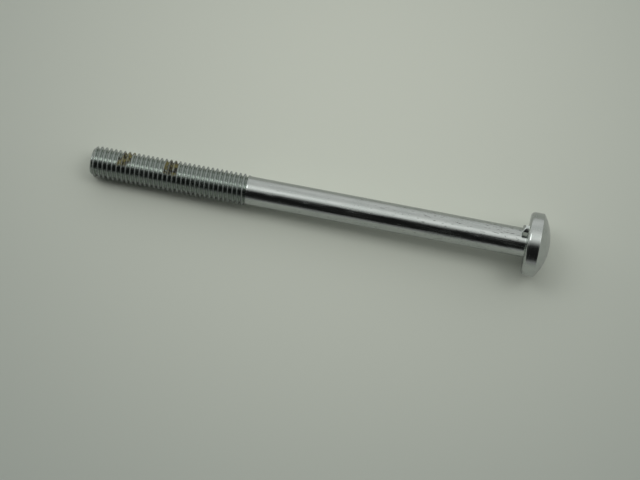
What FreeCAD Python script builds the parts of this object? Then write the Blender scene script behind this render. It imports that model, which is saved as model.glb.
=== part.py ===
import FreeCAD, Part
import math
import os

import Sketcher

# Long round-head bolt, one solid. It is modelled upright, with its threaded tip at the origin and its head up,
# and then laid down as it comes to rest, on the rim of the head and the first crest of the thread.

Vector = FreeCAD.Vector
doc = FreeCAD.newDocument("bolt_model")


# Sizes

SIZES = [
    ("thread_diameter", 9.9, "over the crests of the thread"),
    ("thread_pitch", 1.5, "right hand"),
    ("thread_length", 50.8, "from the tip to the end of the run-out"),
    ("crest_flat", 0.25, "width of a crest"),
    ("thread_depth", 0.84, "from a crest to the bottom of a groove"),
    ("thread_start", 124.0, "degrees, where the helix starts around the bolt"),
    ("tip_chamfer", 1.0, "45 degree bevel on the tip"),
    ("crest_fade_angle", 20.0, "degrees, slope of the last crests down to the shank"),
    ("groove_runout", 1.4, "length over which the grooves come up to the shank"),
    ("shank_diameter", 9.0, "plain shank, about the pitch diameter of the rolled thread"),
    ("under_head_length", 139.0, "from the tip to the underside of the head"),
    ("neck_bevel", 0.4, "between the shank and the underside"),
    ("head_diameter", 20.0, ""),
    ("head_edge", 4.2, "height of the rim, with its bevel"),
    ("underside_bevel", 1.1, "between the underside and the rim"),
    ("dome_height", 3.2, "of the outer face over the rim"),
    ("nib_width", 2.8, "around the shank"),
    ("nib_length", 1.9, "along the shank, from the underside"),
    ("nib_taper", 0.6, "by which it is shorter at its outer corner"),
    ("nib_height", 4.1, "outwards from the shank"),
    ("nib_corner", 1.2, "bevel of its outer corner, seen from the side"),
    ("nib_edge_round", 0.8, "radius of its long edges"),
    ("nib_roll", 21.0, "degrees from straight up, as the bolt lies"),
    ("overlap", 0.3, "how far construction surfaces run past each other"),
]

sheet = doc.addObject("Spreadsheet::Sheet", "Sizes")
for row, (alias, value, note) in enumerate(SIZES, start=1):
    sheet.set(f"A{row}", alias)
    sheet.set(f"B{row}", str(value))
    sheet.set(f"C{row}", note)
    sheet.setAlias(f"B{row}", alias)
doc.recompute()

# Two lengths closer than this are the same length.
SAME = 1e-4

THREAD_RADIUS = "Sizes.thread_diameter / 2"
ROOT_RADIUS = f"{THREAD_RADIUS} - Sizes.thread_depth"
SHANK_RADIUS = "Sizes.shank_diameter / 2"
HEAD_RADIUS = "Sizes.head_diameter / 2"
HEAD_TOP = "Sizes.under_head_length + Sizes.head_edge"


def value_of(expression):
    """The number that an expression on the sheet gives now, in millimetres or degrees."""
    return float(sheet.evalExpression(expression))


# Sketches


def new_sketch(body, name, plane_role):
    """An empty sketch on one of the body's own origin planes."""
    plane = next(feature for feature in body.Origin.OriginFeatures if feature.Role == plane_role)
    sketch = body.newObject("Sketcher::SketchObject", name)
    sketch.AttachmentSupport = [(plane, "")]
    sketch.MapMode = "FlatFace"
    return sketch


def arc_between(start, end, centre_across):
    """Counterclockwise arc from start to end, whose centre lies at a known distance across."""
    reach = (end.x - centre_across) ** 2 - (start.x - centre_across) ** 2
    centre_along = (reach + end.y**2 - start.y**2) / (2 * (end.y - start.y))
    centre = Vector(centre_across, centre_along, 0)
    circle = Part.Circle(centre, Vector(0, 0, 1), (start - centre).Length)
    angles = [math.atan2(point.y - centre.y, point.x - centre.x) for point in (start, end)]
    return Part.ArcOfCircle(circle, *angles)


def bind(sketch, kind, geometry, position, name, expression):
    """Ties one coordinate of a point to an expression on the sheet, measured from the sketch's origin."""
    if expression == "0":
        axis = -2 if kind == "DistanceX" else -1
        sketch.addConstraint(Sketcher.Constraint("PointOnObject", geometry, position, axis))
        return
    index = sketch.addConstraint(Sketcher.Constraint(kind, -1, 1, geometry, position, value_of(expression)))
    sketch.renameConstraint(index, name)
    sketch.setExpression(f"Constraints.{name}", expression)


def draw_outline(sketch, corners):
    """Closed outline, counterclockwise. Each corner is its name, its two coordinates as expressions and, where
    an arc leaves it, the coordinate across of the arc's centre."""
    points = [Vector(value_of(corner[1]), value_of(corner[2]), 0) for corner in corners]
    count = len(corners)
    for i, corner in enumerate(corners):
        start, end = points[i], points[(i + 1) % count]
        if len(corner) == 4:
            sketch.addGeometry(arc_between(start, end, value_of(corner[3])))
        else:
            sketch.addGeometry(Part.LineSegment(start, end))
    for i, corner in enumerate(corners):
        sketch.addConstraint(Sketcher.Constraint("Coincident", i, 2, (i + 1) % count, 1))
    for i, corner in enumerate(corners):
        bind(sketch, "DistanceX", i, 1, f"{corner[0]}_across", corner[1])
        bind(sketch, "DistanceY", i, 1, f"{corner[0]}_along", corner[2])
        if len(corner) == 4:
            bind(sketch, "DistanceX", i, 3, f"{corner[0]}_centre", corner[3])
    doc.recompute()


def revolved(body, name, sketch):
    """The sketch turned once around the bolt's axis."""
    feature = body.newObject("PartDesign::Revolution", name)
    feature.Profile = sketch
    feature.ReferenceAxis = (sketch, ["V_Axis"])
    feature.Angle = 360
    sketch.Visibility = False
    doc.recompute()
    return feature


def dressed(body, kind, name, base, size_alias, wanted):
    """Bevels or rounds the edges of the base feature that the test wants. The kind is Chamfer or Fillet."""
    names = [f"Edge{i}" for i, edge in enumerate(base.Shape.Edges, start=1) if wanted(edge)]
    feature = body.newObject(f"PartDesign::{kind}", name)
    feature.Base = (base, names)
    feature.setExpression("Size" if kind == "Chamfer" else "Radius", f"Sizes.{size_alias}")
    doc.recompute()
    return feature


def is_ring(edge, radius, height):
    """True for a circle around the bolt's axis with this radius, at this height."""
    if edge.Degenerated or not isinstance(edge.Curve, Part.Circle):
        return False
    circle = edge.Curve
    return abs(circle.Radius - radius) < SAME and abs(circle.Center.z - height) < SAME


# Shank and head, turned in one profile. Below the end of the thread the shank is a cone inside the
# threaded core, so that the grooves come up to its surface.


def make_shank_and_head():
    body = doc.addObject("PartDesign::Body", "shank_and_head")
    sketch = new_sketch(body, "shank_and_head_profile", "XZ_Plane")
    runout_start = "Sizes.thread_length - Sizes.overlap - Sizes.groove_runout"
    draw_outline(
        sketch,
        [
            ("core", "0", runout_start),
            ("runout_start", f"{ROOT_RADIUS} - Sizes.overlap", runout_start),
            ("runout_end", SHANK_RADIUS, "Sizes.thread_length - Sizes.overlap"),
            ("neck", SHANK_RADIUS, "Sizes.under_head_length"),
            ("underside", HEAD_RADIUS, "Sizes.under_head_length"),
            ("rim", HEAD_RADIUS, HEAD_TOP, "0"),
            ("dome", "0", f"{HEAD_TOP} + Sizes.dome_height"),
        ],
    )
    turned = revolved(body, "turned", sketch)
    shank, rim = value_of(SHANK_RADIUS), value_of(HEAD_RADIUS)
    underside = value_of("Sizes.under_head_length")
    neck = dressed(body, "Chamfer", "neck", turned, "neck_bevel", lambda edge: is_ring(edge, shank, underside))
    dressed(body, "Chamfer", "corner", neck, "underside_bevel", lambda edge: is_ring(edge, rim, underside))
    return body


# Nib: a short tongue on one side of the shank, against the underside of the head. It keeps the bolt
# from turning in a slotted hole while the nut is tightened.


def make_nib():
    body = doc.addObject("PartDesign::Body", "nib")
    sketch = new_sketch(body, "nib_outline", "XZ_Plane")
    reach = f"{SHANK_RADIUS} + Sizes.nib_height"
    lower = "Sizes.under_head_length - Sizes.nib_length"
    corner = f"{lower} + Sizes.nib_taper"
    upper = "Sizes.under_head_length + Sizes.head_edge / 2"
    draw_outline(
        sketch,
        [
            ("axis_lower", "0", lower),
            ("shank_side", SHANK_RADIUS, lower),
            ("corner_start", f"{reach} - Sizes.nib_corner", corner),
            ("corner_end", reach, f"{corner} + Sizes.nib_corner"),
            ("outer_upper", reach, upper),
            ("axis_upper", "0", upper),
        ],
    )
    pad = body.newObject("PartDesign::Pad", "tongue")
    pad.Profile = sketch
    pad.SideType = "Symmetric"
    pad.setExpression("Length", "Sizes.nib_width")
    sketch.Visibility = False
    doc.recompute()
    half_width = value_of("Sizes.nib_width") / 2
    height_of_top = value_of(upper)

    def is_long_edge(edge):
        """True for the edges of the two side faces, apart from those on the axis and inside the head."""
        box = edge.BoundBox
        on_side = box.YLength < SAME and abs(abs(box.YMin) - half_width) < SAME
        return on_side and box.XMax > half_width and box.ZMin < height_of_top - SAME

    dressed(body, "Fillet", "long_edges", pad, "nib_edge_round", is_long_edge)
    return body


# Thread: flanks and crests are ruled faces between helices, one turn at a time, closed at both ends
# two turns beyond the part that stays. The root of a groove is a plain vee.


def helix_turn(radius, height):
    """One turn of the helix around the axis that starts at this height."""
    edge = Part.makeHelix(value_of("Sizes.thread_pitch"), value_of("Sizes.thread_pitch"), radius).Edges[0]
    edge.translate(Vector(0, 0, height))
    return edge


def make_threaded_rod():
    pitch = value_of("Sizes.thread_pitch")
    crest_flat = value_of("Sizes.crest_flat")
    crest, root = value_of(THREAD_RADIUS), value_of(ROOT_RADIUS)
    flank_rise = (pitch - crest_flat) / 2
    steps = [(root, 0), (crest, flank_rise), (crest, flank_rise + crest_flat), (root, pitch)]
    spare = 2 * pitch
    start = -spare
    turns = math.ceil((value_of("Sizes.thread_length") + 2 * spare) / pitch)
    top = start + turns * pitch

    one_turn = [
        Part.makeRuledSurface(helix_turn(lower[0], start + lower[1]), helix_turn(upper[0], start + upper[1]))
        for lower, upper in zip(steps, steps[1:])
    ]
    faces = []
    for turn in range(turns):
        for face in one_turn:
            copy = face.copy()
            copy.translate(Vector(0, 0, turn * pitch))
            faces.append(copy)
    for height in (start, top):
        axis = Part.LineSegment(Vector(0, 0, height), Vector(0, 0, height + pitch)).toShape()
        faces.append(Part.makeRuledSurface(axis, helix_turn(root, height)))
        outline = [Vector(0, 0, height)]
        outline += [Vector(radius, 0, height + rise) for radius, rise in steps]
        outline += [Vector(0, 0, height + pitch), Vector(0, 0, height)]
        faces.append(Part.Face(Part.makePolygon(outline)))

    shell = Part.makeShell(faces)
    shell.sewShape()
    solid = Part.makeSolid(shell)
    if solid.Volume < 0:
        solid.reverse()
    rod = doc.addObject("Part::Feature", "threaded_rod")
    rod.Shape = solid
    start_turn = FreeCAD.Rotation(Vector(0, 0, 1), value_of("Sizes.thread_start"))
    rod.Placement = FreeCAD.Placement(Vector(), start_turn)
    return rod


# Blank: the outline that the threaded rod is cut back to, with the bevelled tip and the slope on which
# the last crests fade into the shank.


def make_thread_blank():
    body = doc.addObject("PartDesign::Body", "thread_blank")
    sketch = new_sketch(body, "thread_blank_profile", "XZ_Plane")
    slope = "tan(Sizes.crest_fade_angle * 1 deg)"
    fade_start = f"Sizes.thread_length - ({THREAD_RADIUS} + Sizes.overlap - {SHANK_RADIUS}) / {slope}"
    fade_end = f"Sizes.thread_length + Sizes.overlap / {slope}"
    draw_outline(
        sketch,
        [
            ("tip_centre", "0", "0"),
            ("tip", f"{THREAD_RADIUS} - Sizes.tip_chamfer", "0"),
            ("bevel_end", f"{THREAD_RADIUS} + Sizes.overlap", "Sizes.tip_chamfer + Sizes.overlap"),
            ("fade_start", f"{THREAD_RADIUS} + Sizes.overlap", fade_start),
            ("fade_end", f"{SHANK_RADIUS} - Sizes.overlap", fade_end),
            ("fade_centre", "0", fade_end),
        ],
    )
    revolved(body, "blank", sketch)
    return body


# The whole bolt, laid down.


def resting_tilt():
    """Angle of the axis when the bolt lies on the first crest and on the near edge of the rim."""
    along = value_of("Sizes.under_head_length + Sizes.underside_bevel - Sizes.tip_chamfer")
    return math.degrees(math.atan2(value_of(f"{HEAD_RADIUS} - {THREAD_RADIUS}"), along))


def make_bolt():
    thread = doc.addObject("Part::Common", "thread")
    thread.Base = make_threaded_rod()
    thread.Tool = make_thread_blank()
    doc.recompute()
    bolt = doc.addObject("Part::MultiFuse", "bolt")
    bolt.Shapes = [thread, make_shank_and_head(), make_nib()]
    doc.recompute()

    roll = FreeCAD.Rotation(Vector(0, 0, 1), 180 - value_of("Sizes.nib_roll"))
    lie_down = FreeCAD.Rotation(Vector(0, 1, 0), 90 - resting_tilt())
    turned = lie_down.multiply(roll)
    shape = bolt.Shape.copy()
    shape.Placement = FreeCAD.Placement(Vector(), turned)
    box = shape.optimalBoundingBox(True, False)
    bolt.Placement = FreeCAD.Placement(Vector(-box.Center.x, -box.Center.y, -box.ZMin), turned)
    return bolt


bolt = make_bolt()
doc.recompute()

# Checks and files

for thing in doc.Objects:
    if "Invalid" in thing.State or "Error" in thing.State:
        raise RuntimeError(f"{thing.Label} failed: {thing.State}")
if bolt.Shape.isNull() or not bolt.Shape.isValid() or len(bolt.Shape.Solids) != 1:
    raise RuntimeError(f"{bolt.Label} is not one valid solid")

os.makedirs("parts", exist_ok=True)
bolt.Shape.exportStep(f"parts/{bolt.Label}.step")

box = bolt.Shape.optimalBoundingBox(True, False)
print(f"{bolt.Label}: {box.XLength:.2f} x {box.YLength:.2f} x {box.ZLength:.2f} mm")
print(f"volume {bolt.Shape.Volume:.0f} mm3")
print(f"axis tilt {resting_tilt():.3f} degrees")
for name, height in (("tip", "0"), ("underside", "Sizes.under_head_length")):
    point = bolt.Placement.multVec(Vector(0, 0, value_of(height)))
    print(f"{name} centre at {point.x:.3f}, {point.y:.3f}, {point.z:.3f}")
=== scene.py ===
import math

import bmesh
import bpy
import numpy as np
from mathutils import Matrix, Vector


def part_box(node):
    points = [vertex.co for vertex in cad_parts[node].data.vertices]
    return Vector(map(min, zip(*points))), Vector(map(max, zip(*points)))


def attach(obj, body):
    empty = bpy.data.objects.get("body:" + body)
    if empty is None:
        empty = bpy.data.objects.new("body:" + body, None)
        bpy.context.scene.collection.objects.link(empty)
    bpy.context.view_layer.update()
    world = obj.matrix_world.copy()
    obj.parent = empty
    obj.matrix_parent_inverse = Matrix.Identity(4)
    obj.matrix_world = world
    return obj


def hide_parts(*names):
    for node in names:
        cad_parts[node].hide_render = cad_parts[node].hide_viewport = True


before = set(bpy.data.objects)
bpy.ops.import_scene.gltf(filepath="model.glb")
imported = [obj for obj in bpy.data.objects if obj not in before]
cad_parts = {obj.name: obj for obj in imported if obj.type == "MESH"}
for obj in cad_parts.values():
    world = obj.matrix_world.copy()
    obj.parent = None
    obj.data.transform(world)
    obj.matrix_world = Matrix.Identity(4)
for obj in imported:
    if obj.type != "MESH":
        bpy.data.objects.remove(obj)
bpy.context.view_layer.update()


# Long bolt with a domed round head: one bar of mild steel, with its head forged cold and its thread
# rolled, so that the crests stand wider than the plain shank. Lengths are in millimetres and in the
# bolt's own axes: z runs from the tip along the bolt, and x towards the nib.

MM = 0.001
CREST_RADIUS, SHANK_RADIUS, TIP_RADIUS, HEAD_RADIUS = 4.95, 4.5, 3.95, 10.0
PITCH, THREAD_LENGTH = 1.5, 50.8
UNDER_HEAD, TOP = 139.0, 146.38

# It lies on the rim of the head and on the first full crest, with the nib 21 degrees back from upright.
first_crest, rim_start = 1.0, 140.1
tilt = math.atan2(HEAD_RADIUS - CREST_RADIUS, rim_start - first_crest)
tip_height = CREST_RADIUS * math.cos(tilt) - first_crest * math.sin(tilt)
lowest_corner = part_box("bolt")[0]
tip = Vector((lowest_corner.x + TIP_RADIUS * math.sin(tilt) * MM, 0.0, tip_height * MM))
nib_turn = Matrix.Rotation(math.radians(180.0 - 21.0), 4, "Z")
lie_down = Matrix.Rotation(math.radians(90.0) - tilt, 4, "Y")
PLACE = Matrix.Translation(tip) @ lie_down @ nib_turn

COLUMNS = 144
around = np.arange(COLUMNS) * 2 * math.pi / COLUMNS


def turned(radius, height):
    """Rows of points (radius cos a, radius sin a, height) for every angle a around the axis. Radius and
    height hold one value for each row, or one for each point."""
    radius, height = radius + 0 * around, height + 0 * around
    return np.stack([radius * np.cos(around), radius * np.sin(around), height], axis=2)


def groove_profile():
    """Heights over one pitch, from the middle of a crest, and their depths under the crest. The crest is
    flat with a small corner, the flank is straight at 30 degrees, and the root is round, at
    root_middle + sqrt(root_round^2 - (pitch / 2 - height)^2)."""
    crest_flat, root_round, flank_angle = 0.25, 0.2, math.radians(30.0)
    root_edge = PITCH / 2 - root_round * math.cos(flank_angle)
    root_middle = (PITCH - crest_flat) / 2 / math.tan(flank_angle) - root_round / math.sin(flank_angle)
    crest = np.array([0.09, 0.118])
    flank = np.array([0.142, 0.36])
    root = np.array([root_edge, 0.66, PITCH / 2])
    crest_depth = np.array([0.0, 0.006])
    flank_depth = (flank - crest_flat / 2) / math.tan(flank_angle)
    root_depth = root_middle + np.sqrt(root_round**2 - (PITCH / 2 - root) ** 2)
    heights = np.concatenate([crest, flank, root])
    depths = np.concatenate([crest_depth, flank_depth, root_depth])
    return np.concatenate([-heights[-2::-1], heights]), np.concatenate([depths[-2::-1], depths])


def thread_rows(start=math.radians(124.0), end=51.2):
    """Rows that climb with the helix, so that crests and roots are crisp, at the angle a at height
    row + pitch * (a - start) / turn. Both ends are cut back to a plain ring. The root rises to the shank
    where the thread runs out, the crest falls to it at 20 degrees, and the tip has a 45 degree edge. It
    gives the rows, and how many of them one turn takes."""
    heights, depths = groove_profile()
    turns = np.arange(-2, math.ceil(end / PITCH) + 2)
    row = (turns[:, None] * PITCH + heights).reshape(-1, 1)
    height = np.clip(row + PITCH * (around - start) / (2 * math.pi), 0, end)
    runout, runout_end, deepest = 48.9, 50.6, 3.7
    root = np.interp(height, [runout, runout_end], [deepest, SHANK_RADIUS])
    fade = SHANK_RADIUS + (THREAD_LENGTH - height) * math.tan(math.radians(20.0))
    radius = CREST_RADIUS - np.tile(depths, len(turns))[:, None]
    radius = np.minimum(np.maximum(radius, root), np.maximum(fade, SHANK_RADIUS))
    return turned(np.minimum(radius, TIP_RADIUS + height), height), len(heights)


def rounded(corners, steps=6):
    """Outline through corners of (radius, height, rounding). The first starts it and the last only gives
    a direction. Each other corner becomes an arc that leaves both sides at rounding * tan(half of the
    turn) from the corner, round a middle at rounding / cos(half of the turn)."""
    share = np.linspace(0, 1, steps + 1)[:, None]
    outline = [np.array([corners[0][:2]])]
    for before, (radius, height, rounding), after in zip(corners, corners[1:], corners[2:]):
        corner = np.array([radius, height])
        back, onward = np.array(before[:2]) - corner, np.array(after[:2]) - corner
        back, onward = back / np.linalg.norm(back), onward / np.linalg.norm(onward)
        half_turn = (math.pi - math.acos(back @ onward)) / 2
        inward = (back + onward) / np.linalg.norm(back + onward)
        middle = corner + inward * rounding / math.cos(half_turn)
        chord = corner + rounding * math.tan(half_turn) * (back * (1 - share) + onward * share)
        outward = (chord - middle) / np.linalg.norm(chord - middle, axis=1, keepdims=True)
        outline.append(middle + rounding * outward)
    return np.concatenate(outline)


def head_outline(axis_gap=0.001, dome_height=3.3):
    """Radius and height from the end of the shank over the flat underside and the rim to the middle of
    the dome, which is an arc: top - R + sqrt(R^2 - radius^2), with R = (r^2 + dome^2) / (2 dome)."""
    head_edge = rounded(
        [
            (SHANK_RADIUS, UNDER_HEAD - 6.0, 0),
            (SHANK_RADIUS, UNDER_HEAD, 0.35),
            (HEAD_RADIUS, UNDER_HEAD, 1.3),
            (HEAD_RADIUS, UNDER_HEAD + 4.1, 0.12),
            (HEAD_RADIUS - 0.9, UNDER_HEAD + 4.65, 0),
        ]
    )
    dome_radius = (HEAD_RADIUS**2 + dome_height**2) / (2 * dome_height)
    radius = np.linspace(HEAD_RADIUS - 0.3, 0.0, 22)
    radius[-1] = axis_gap
    height = TOP - dome_radius + np.sqrt(dome_radius**2 - radius**2)
    return np.concatenate([head_edge, np.stack([radius, height], axis=1)])


# The whole bolt from the middle of its end face, which is slightly hollow, to the middle of the dome.
end_face = np.array([(0.001, 0.03), (1.3, 0.03), (2.6, 0.02), (3.4, 0.0)])
shank_height = np.linspace(THREAD_LENGTH + 4.4, UNDER_HEAD - 7.0, 12)
shank = np.stack([SHANK_RADIUS + 0 * shank_height, shank_height], axis=1)
plain = np.concatenate([shank, head_outline()])
threaded, rows_per_turn = thread_rows()
end_rows = turned(end_face[:, :1], end_face[:, 1:])
plain_rows = turned(plain[:, :1], plain[:, 1:])
bolt_rows = np.concatenate([end_rows, threaded, plain_rows])

# Past the last column, a row of the thread carries on as the row one turn further.
carried = np.arange(len(bolt_rows))
in_helix = slice(len(end_face), len(end_face) + len(threaded))
carried[in_helix] = np.minimum(carried[in_helix] + rows_per_turn, in_helix.stop - 1)


def add(tree, kind, inputs=None, **settings):
    """A node with its settings. Its inputs, by name or number, take values, sockets, or the first output
    in use of another node."""
    node = tree.nodes.new("ShaderNode" + kind)
    for name, value in settings.items():
        setattr(node, name, value)
    for key, value in (inputs or {}).items():
        if isinstance(value, bpy.types.Node):
            value = next(socket for socket in value.outputs if socket.enabled)
        if isinstance(value, bpy.types.NodeSocket):
            tree.links.new(value, node.inputs[key])
        else:
            node.inputs[key].default_value = value
    return node


def colour(code):
    """sRGB hex to the linear colour that shaders use."""
    parts = [int(code[i : i + 2], 16) / 255 for i in (0, 2, 4)]
    linear = [p / 12.92 if p <= 0.04045 else ((p + 0.055) / 1.055) ** 2.4 for p in parts]
    return (*linear, 1.0)


# Zinc plating on drawn and rolled steel. It is bright, and shows the fine lengthwise lines of drawing on
# the shank and rings of turning on the head. The worn crests are duller, and the grooves carry painted
# shade: a darker colour that stands in for the shade inside the thread.
plating = bpy.data.materials.new("bright_plated_steel")
plating.use_nodes = True
tree = plating.node_tree
tree.nodes.clear()
SOFT = {"interpolation_type": "SMOOTHSTEP"}

surface = add(tree, "TexCoord").outputs["Object"]
placed = {"Vector": surface, "Location": PLACE.translation, "Rotation": PLACE.to_euler("XYZ")}
own_axes = add(tree, "Mapping", placed, vector_type="TEXTURE")
own_mm = add(tree, "VectorMath", {0: own_axes, 1: (1 / MM, 1 / MM, 1 / MM)}, operation="MULTIPLY")
x, y, z = add(tree, "SeparateXYZ", {0: own_mm}).outputs
across = add(tree, "CombineXYZ", {0: x, 1: y})
from_axis = add(tree, "VectorMath", {0: across}, operation="LENGTH")
in_thread = add(tree, "MapRange", {0: z, 1: THREAD_LENGTH + 0.1, 2: THREAD_LENGTH - 0.6}, **SOFT)
on_head = add(tree, "MapRange", {0: z, 1: UNDER_HEAD - 0.4, 2: UNDER_HEAD + 0.2}, **SOFT)
on_crest = {0: from_axis, 1: CREST_RADIUS - 0.13, 2: CREST_RADIUS - 0.03, 4: in_thread}
in_groove = {0: from_axis, 1: CREST_RADIUS - 0.15, 2: CREST_RADIUS - 0.65, 4: in_thread}
crest = add(tree, "MapRange", on_crest, **SOFT)
groove = add(tree, "MapRange", in_groove, **SOFT)

# Noise with cells of a width and a length along the bolt, in millimetres.
pattern = {}
for name, width, length, detail in (
    ("lines", 0.3846, 12.82, 4.0),
    ("smudges", 1.667, 5.556, 3.0),
    ("blotches", 0.909, 0.909, 3.0),
    ("grease tones", 1.111, 2.222, 2.0),
    ("scratches", 0.3125, 1.736, 1.0),
):
    cell = add(tree, "VectorMath", {0: own_mm, 1: (width, width, length)}, operation="DIVIDE")
    pattern[name] = add(tree, "TexNoise", {0: cell, "Scale": 1.0, "Detail": detail})
rings_at = add(tree, "CombineXYZ", {0: from_axis, 2: z})
rings_per_mm = 3.0
rings = add(tree, "TexNoise", {0: rings_at, "Scale": rings_per_mm, "Detail": 4.0})
marks = add(tree, "Mix", {0: on_head, 2: pattern["lines"], 3: rings})

# Dried grease in two places of the thread, on the upper side: where its middle is, how far it leans, and
# where it is full and gone. It is thinner on the crests.
places = []
for middle, lean, full, gone in ((10.9, 0.3, 1.3, 1.9), (25.7, 0.0, 1.9, 2.3)):
    leaning = add(tree, "Math", {0: y, 1: lean, 2: z}, operation="MULTIPLY_ADD")
    beside = add(tree, "Math", {0: leaning, 1: middle}, operation="SUBTRACT")
    away = add(tree, "Math", {0: beside}, operation="ABSOLUTE")
    places.append(add(tree, "MapRange", {0: away, 1: gone, 2: full}, **SOFT))
grease = add(tree, "Math", {0: places[0], 1: places[1]}, operation="MAXIMUM")
upper_side = (math.cos(math.radians(-10.0)), math.sin(math.radians(-10.0)), 0.0)
upward = add(tree, "VectorMath", {0: across, 1: upper_side}, operation="DOT_PRODUCT")
for value, none, full in ((upward, 2.7, 3.5), (pattern["blotches"], 0.3, 0.45)):
    grease = add(tree, "MapRange", {0: value, 1: none, 2: full, 4: grease}, **SOFT)
thickness = {0: from_axis, 1: CREST_RADIUS + 0.03, 2: CREST_RADIUS - 0.15, 3: 0.475, 4: 0.95}
cover = add(tree, "MapRange", thickness, **SOFT)
grease = add(tree, "Math", {0: grease, 1: cover}, operation="MULTIPLY")

# Small dark scratches along the shank, more of them near the head.
rareness = add(tree, "MapRange", {0: z, 1: 60.0, 2: 136.0, 3: 0.73, 4: 0.645}, **SOFT)
over = add(tree, "Math", {0: pattern["scratches"], 1: rareness}, operation="SUBTRACT")
scratch = add(tree, "MapRange", {0: over, 1: 0.0, 2: 0.03, 4: 0.65}, **SOFT)
for none, full in ((56.0, 62.0), (UNDER_HEAD - 1.0, UNDER_HEAD - 1.6)):
    scratch = add(tree, "MapRange", {0: z, 1: none, 2: full, 4: scratch}, **SOFT)

# Roughness of the lines and rings, and what smudges, worn crests, grooves and grease add to it.
roughness = add(tree, "MapRange", {0: marks, 1: 0.35, 2: 0.65, 3: 0.07, 4: 0.22}, **SOFT)
haze = add(tree, "MapRange", {0: pattern["smudges"], 1: 0.45, 2: 0.7}, **SOFT)
for mask, rise in ((haze, 0.1), (crest, 0.45), (groove, 0.02), (grease, 0.316)):
    roughness = add(tree, "Math", {0: mask, 1: rise, 2: roughness}, operation="MULTIPLY_ADD")

# Colour of the plating, and then of what changes or covers it, one over the other. The darker groove
# colour is painted shade.
dimmer = add(tree, "MapRange", {0: pattern["smudges"], 1: 0.35, 2: 0.7}, **SOFT)
paler = add(tree, "MapRange", {0: pattern["grease tones"], 1: 0.38, 2: 0.6}, **SOFT)
tone = add(tree, "Mix", {0: dimmer, 6: colour("ced4cf"), 7: colour("c5ccc7")}, data_type="RGBA")
brown = add(tree, "Mix", {0: paler, 6: colour("1d190b"), 7: colour("86804a")}, data_type="RGBA")
for mask, other in (
    # painted shade in the thread's hollows
    (groove, colour("a6aea8")),
    (crest, colour("a3aaa6")),
    (scratch, colour("3a3c3b")),
    (grease, brown),
):
    tone = add(tree, "Mix", {0: mask, 6: tone, 7: other}, data_type="RGBA")

bare_metal = add(tree, "Math", {0: 1.0, 1: grease}, operation="SUBTRACT")
relief = add(tree, "Bump", {"Height": marks, "Strength": 0.45, "Distance": 0.04 * MM})
finish = {"Base Color": tone, "Metallic": bare_metal, "Roughness": roughness, "Normal": relief}
shader = add(tree, "BsdfPrincipled", finish)
add(tree, "OutputMaterial", {"Surface": shader})


def steel_piece(name, rows, carried=None):
    """A closed piece from rows of points round it, each moved to PLACE * point. Row r joins row r + 1,
    and its last point joins the first one of row r, or of row carried[r]. Points that coincide become
    one, and faces turn outward."""
    number = np.arange(rows.shape[0] * rows.shape[1]).reshape(rows.shape[:2])
    first = number[:, :1] if carried is None else number[carried, :1]
    number = np.concatenate([number, first], axis=1)
    quads = np.stack([number[:-1, :-1], number[:-1, 1:], number[1:, 1:], number[1:, :-1]], axis=2)
    place = np.array(PLACE)
    points = (rows.reshape(-1, 3) * MM) @ place[:3, :3].T + place[:3, 3]
    mesh = bpy.data.meshes.new(name)
    mesh.from_pydata(points.tolist(), [], quads.reshape(-1, 4).tolist())

    same_point = 0.002 * MM
    work = bmesh.new()
    work.from_mesh(mesh)
    bmesh.ops.remove_doubles(work, verts=work.verts, dist=same_point)
    bmesh.ops.dissolve_degenerate(work, edges=work.edges, dist=same_point)
    bmesh.ops.recalc_face_normals(work, faces=work.faces)
    work.to_mesh(mesh)
    work.free()

    mesh.shade_smooth()
    mesh.set_sharp_from_angle(angle=math.radians(38.0))
    mesh.materials.append(plating)
    piece = bpy.data.objects.new(name, mesh)
    bpy.context.scene.collection.objects.link(piece)
    weighted = piece.modifiers.new("even shading on flats", "WEIGHTED_NORMAL")
    weighted.keep_sharp = True
    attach(piece, "root")
    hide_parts("bolt")
    return piece


steel_piece("bolt_body", bolt_rows, carried)


# Nib: a short tongue of the same plated steel, forged between the shank and the underside of the head to
# keep the bolt from turning. Above its shoulder it is bevelled towards both sides and the thread, up to a
# small top that is lower at the front. It flares into the shank and the head with a fillet.

FILLET = 0.15
NIB_HALF, NIB_LENGTH, NIB_SHOULDER = 1.4, 1.85, 6.95
TOP_FRONT, TOP_BACK, TOP_LENGTH = 0.5, 0.35, 1.0
TOP_LOW, TOP_HIGH = 7.85, 8.3
quarter = np.linspace(0, math.pi / 2, 7)


def nib_outline(edge_round=0.45):
    """Outline seen from the nib's top, from the head round the nib and back: side and depth under the
    head, and their share of the direction outward. It is a fillet of (1 - sin a, 1 - cos a), a straight
    side and a rounded corner of (1 - cos a, 1 - sin a), and then the same mirrored."""
    sine, cosine = np.sin(quarter), np.cos(quarter)
    flare = [NIB_HALF + FILLET * (1 - sine), FILLET * (1 - cosine), sine, cosine]
    corner = [NIB_HALF - edge_round * (1 - cosine), NIB_LENGTH - edge_round * (1 - sine), cosine, sine]
    middle = [[0.0], [NIB_LENGTH], [0.0], [1.0]]
    half = np.concatenate([flare, corner, middle], axis=1)
    return np.concatenate([half, half[:, -2::-1] * [[-1], [1], [-1], [1]]], axis=1)


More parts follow.
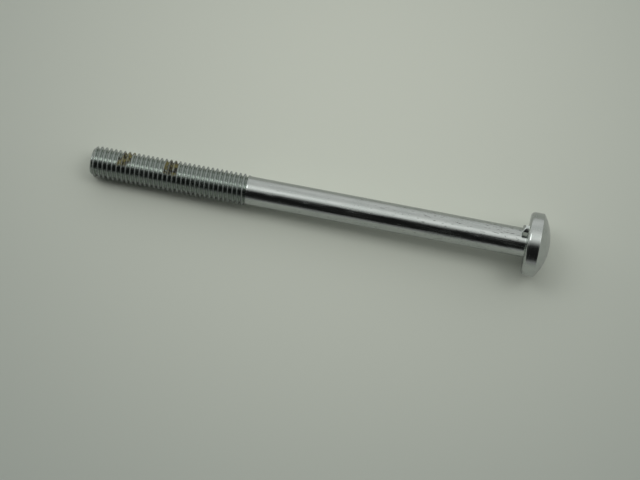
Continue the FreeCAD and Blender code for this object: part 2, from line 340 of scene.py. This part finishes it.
def nib_rows(buried=0.004, core=3.4, inside_head=140.0):
    """The outline carried outward from the shank. At the foot it widens by a fillet and follows the
    shank, at sqrt(radius^2 - side^2). From the shoulder on it goes straight to the top's outline. The
    rows start on a line inside the shank, end in the middle of the top, and close inside the head."""
    side, depth, side_share, depth_share = nib_outline()
    widening = FILLET * (1 - np.sin(quarter))[:, None]
    foot_side = side + side_share * widening
    foot_radius = SHANK_RADIUS + FILLET * (1 - np.cos(quarter))[:, None]
    top_slope = (TOP_HIGH - TOP_LOW) / (TOP_FRONT + TOP_BACK)
    top_side = side * np.where(side > 0, TOP_FRONT, TOP_BACK) / NIB_HALF
    top_outward = TOP_LOW + top_slope * (TOP_FRONT - top_side)
    top_depth = depth * TOP_LENGTH / NIB_LENGTH
    part = np.array([[0.5], [1.0]])
    foot = (np.sqrt(foot_radius**2 - foot_side**2), foot_side, depth + depth_share * widening)
    body = (np.linspace(SHANK_RADIUS + 0.3, NIB_SHOULDER, 9)[:, None], side, depth)
    bevel = (
        NIB_SHOULDER + (top_outward - NIB_SHOULDER) * part,
        side + (top_side - side) * part,
        depth + (top_depth - depth) * part,
    )
    rows = np.concatenate(
        [
            np.stack(np.broadcast_arrays(outward, across, UNDER_HEAD + buried - under), axis=2)
            for outward, across, under in (foot, body, bevel)
        ]
    )
    inner = rows[:1] * [0.0, 1.0, 1.0] + [core, 0.0, 0.0]
    top_middle = np.array([TOP_LOW + top_slope * TOP_FRONT, 0.0, 0.0])
    closing = [top_middle + (rows[-1:] - top_middle) * [share, share, 1.0] for share in (0.5, 0.0)]
    rows = np.concatenate([inner * [1.0, 0.0, 1.0], inner, rows, *closing])
    ends = rows[:, [0, -1]] * [1.0, 1.0, 0.0] + [0.0, 0.0, inside_head]
    return np.concatenate([ends[:, :1], rows, ends[:, 1:]], axis=1)


steel_piece("nib", nib_rows())


# Floor: a plain painted worktop, smooth and half matt. For the camera it carries a painted pool of light:
# its colour is paler round the bolt and a little darker away from it. What mirrors in the steel is one
# plain tone.

half = 1.5
floor_mesh = bpy.data.meshes.new("floor")
floor_corners = [(-half, -half, 0), (half, -half, 0), (half, half, 0), (-half, half, 0)]
floor_mesh.from_pydata(floor_corners, [], [(0, 1, 2, 3)])
floor = bpy.data.objects.new("floor", floor_mesh)
bpy.context.scene.collection.objects.link(floor)

worktop = bpy.data.materials.new("pale_worktop")
worktop.use_nodes = True
paint = worktop.node_tree
spot = add(paint, "TexCoord").outputs["Object"]
# Painted light: the colour the camera sees is palest at this point and darker away from it.
painted_light_middle = (0.002, 0.042, 0.0)
from_brightest = add(paint, "VectorMath", {0: spot, 1: painted_light_middle}, operation="DISTANCE")
away = add(paint, "MapRange", {0: from_brightest, 1: 0.0, 2: 0.21}, **SOFT)
seen = add(paint, "Mix", {0: away, 6: colour("edf3e4"), 7: colour("bac2b8")}, data_type="RGBA")
to_camera = add(paint, "LightPath").outputs["Is Camera Ray"]
shade = add(paint, "Mix", {0: to_camera, 6: colour("cacdc5"), 7: seen}, data_type="RGBA")
worktop_shader = paint.nodes["Principled BSDF"]
paint.links.new(shade.outputs[2], worktop_shader.inputs["Base Color"])
worktop_shader.inputs["Roughness"].default_value = 0.6
worktop_shader.inputs["Specular IOR Level"].default_value = 0.2
floor.data.materials.append(worktop)


# Light: two soft panels high up at the left and right, and a pale room that is dark on the camera's side,
# so that the steel shows its dark band. A stop is an angle round the bolt's length, in degrees from the
# horizon in front over the zenith to the horizon behind, and the room's brightness there.

DARK_FRONT = [(0, 0.26), (4, 0.24), (9, 0.15), (16, 0.03), (23, 0.01), (61, 0.01), (68, 0.03)]
BRIGHT_ABOVE = [(76, 0.22), (84, 0.54), (92, 0.78), (98, 0.88), (106, 0.83), (117, 0.65)]
PALE_BEHIND = [(126, 0.57), (135, 0.56), (160, 0.61), (180, 0.48)]
OVER_THE_BOLT = DARK_FRONT + BRIGHT_ABOVE + PALE_BEHIND
PAST_ITS_ENDS = [(0, 0.04), (20, 0.02), (62, 0.02), (76, 0.3), (88, 0.54), (132, 0.54)]
PAST_ITS_ENDS += [(150, 0.6), (180, 0.6)]

for panel_x in (-0.46, 0.46):
    panel = bpy.data.lights.new("overhead_panel", "AREA")
    panel.shape = "RECTANGLE"
    panel.size, panel.size_y = 0.45, 0.36
    panel.energy = 0.88
    panel_object = bpy.data.objects.new("overhead_panel", panel)
    panel_object.location = (panel_x, 0.14, 0.8)
    bpy.context.scene.collection.objects.link(panel_object)

world = bpy.data.worlds.new("room")
bpy.context.scene.world = world
world.use_nodes = True
room = world.node_tree
room.nodes.clear()
direction = add(room, "TexCoord").outputs["Generated"]
sideways, behind, up = add(room, "SeparateXYZ", {0: direction}).outputs
front = add(room, "Math", {0: behind, 1: -1.0}, operation="MULTIPLY")
turn = add(room, "Math", {0: up, 1: front}, operation="ARCTAN2")
half_turns = add(room, "Math", {0: turn, 1: math.pi}, operation="DIVIDE")
levels = []
for stops in (OVER_THE_BOLT, PAST_ITS_ENDS):
    ramp = add(room, "ValToRGB", {0: half_turns})
    elements = ramp.color_ramp.elements
    while len(elements) < len(stops):
        elements.new(1.0)
    for element, (degrees, level) in zip(elements, stops):
        element.position = degrees / 180
        element.color = (level, level, level, 1.0)
    levels.append(ramp)
off_middle = add(room, "Math", {0: sideways}, operation="ABSOLUTE")
past_ends = add(room, "MapRange", {0: off_middle, 1: 0.3, 2: 0.5}, **SOFT)
brightness = add(room, "Mix", {0: past_ends, 6: levels[0], 7: levels[1]}, data_type="RGBA")
air = add(room, "Background", {"Color": brightness, "Strength": 1.0})
add(room, "OutputWorld", {"Surface": air})
bpy.context.scene.view_settings.view_transform = "Standard"


# Camera: a long lens at the photograph's angle, 74 degrees up and a little to the right of the bolt's
# front. Its focal length is given in pixels of the photograph's width.

photo_width, focal_length_pixels = 640.0, 1800.0
azimuth, elevation, distance = math.radians(11.885), math.radians(74.0), 0.5694
looks_at = Vector((0.00249, -0.00942, 0.0))

camera = bpy.data.cameras.new("camera")
camera.sensor_width = 36.0
camera.lens = focal_length_pixels / photo_width * camera.sensor_width
camera.clip_start = 0.01
camera_object = bpy.data.objects.new("camera", camera)
bpy.context.scene.collection.objects.link(camera_object)
level_part = math.cos(elevation)
back = Vector((math.sin(azimuth) * level_part, -math.cos(azimuth) * level_part, math.sin(elevation)))
camera_object.location = looks_at + back * distance
camera_object.rotation_euler = back.to_track_quat("Z", "Y").to_euler()
bpy.context.scene.camera = camera_object
